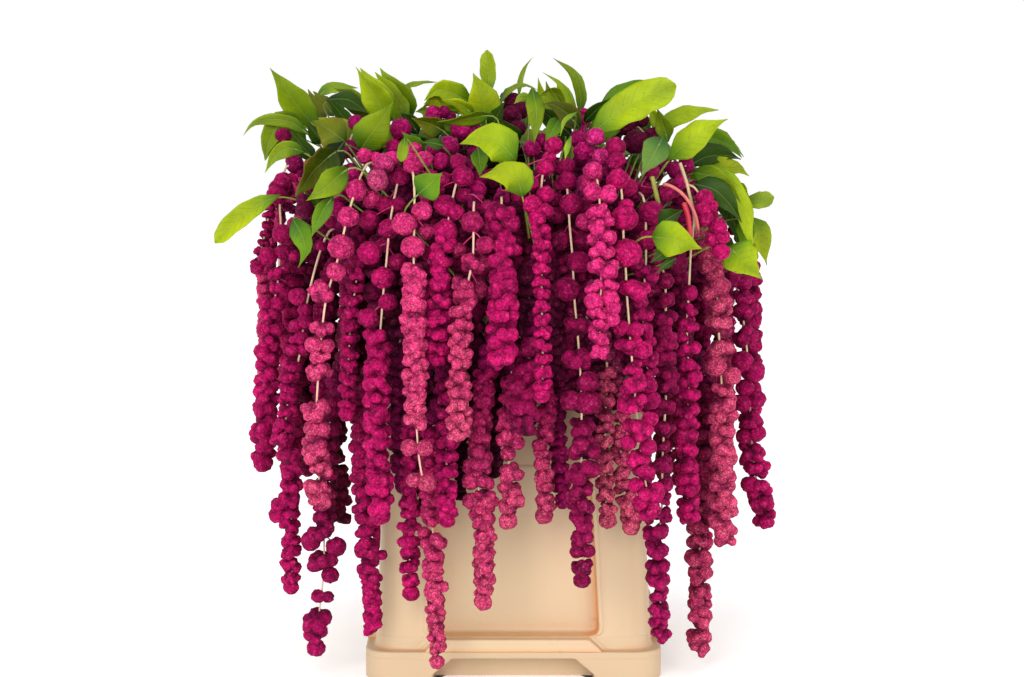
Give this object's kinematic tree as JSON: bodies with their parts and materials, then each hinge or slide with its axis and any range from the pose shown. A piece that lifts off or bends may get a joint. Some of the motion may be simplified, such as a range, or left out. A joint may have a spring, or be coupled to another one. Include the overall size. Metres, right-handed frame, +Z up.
{
  "type": "bucket of cut trailing amaranth",
  "caption": "Square plastic flower bucket filled with cut trailing amaranth: green leaves on top and long beaded crimson and pink seed heads hanging over the rim on every side.",
  "frame": {"origin": "centre of the bucket's underside, on the surface it stands on", "axes": "+Z up, front towards -Y, +X to the right when seen from the front"},
  "size_m": [0.5659, 0.5016, 0.6274],
  "materials": {
    "bucket_plastic": "satin moulded beige plastic with a fine texture",
    "foliage": "smooth fresh leaf green with paler veins",
    "seed_tassel": "matt granular crimson and pink florets"
  },
  "bodies": {
    "root": {"bucket": "bucket_plastic", "leafy_stem_01": "foliage", "leafy_stem_02": "foliage", "leafy_stem_03": "foliage", "leafy_stem_04": "foliage", "leafy_stem_05": "foliage", "leafy_stem_06": "foliage", "leafy_stem_07": "foliage", "leafy_stem_08": "foliage", "leafy_stem_09": "foliage", "leafy_stem_10": "foliage", "leafy_stem_11": "foliage", "leafy_stem_12": "foliage", "leafy_stem_13": "foliage", "leafy_stem_14": "foliage", "leafy_stem_15": "foliage", "leafy_stem_16": "foliage", "leafy_stem_17": "foliage", "leafy_stem_18": "foliage", "leafy_stem_19": "foliage", "leafy_stem_20": "foliage", "leafy_stem_21": "foliage", "leafy_stem_22": "foliage", "leafy_stem_23": "foliage", "leafy_stem_24": "foliage", "seed_head_01": "seed_tassel", "seed_head_02": "seed_tassel", "seed_head_03": "seed_tassel", "seed_head_04": "seed_tassel", "seed_head_05": "seed_tassel", "seed_head_06": "seed_tassel", "seed_head_07": "seed_tassel", "seed_head_08": "seed_tassel", "seed_head_09": "seed_tassel", "seed_head_10": "seed_tassel", "seed_head_11": "seed_tassel", "seed_head_12": "seed_tassel", "seed_head_13": "seed_tassel", "seed_head_14": "seed_tassel", "seed_head_15": "seed_tassel", "seed_head_16": "seed_tassel", "seed_head_17": "seed_tassel", "seed_head_18": "seed_tassel", "seed_head_19": "seed_tassel", "seed_head_20": "seed_tassel", "seed_head_21": "seed_tassel", "seed_head_22": "seed_tassel", "seed_head_23": "seed_tassel", "seed_head_24": "seed_tassel"}
  },
  "joints": []
}
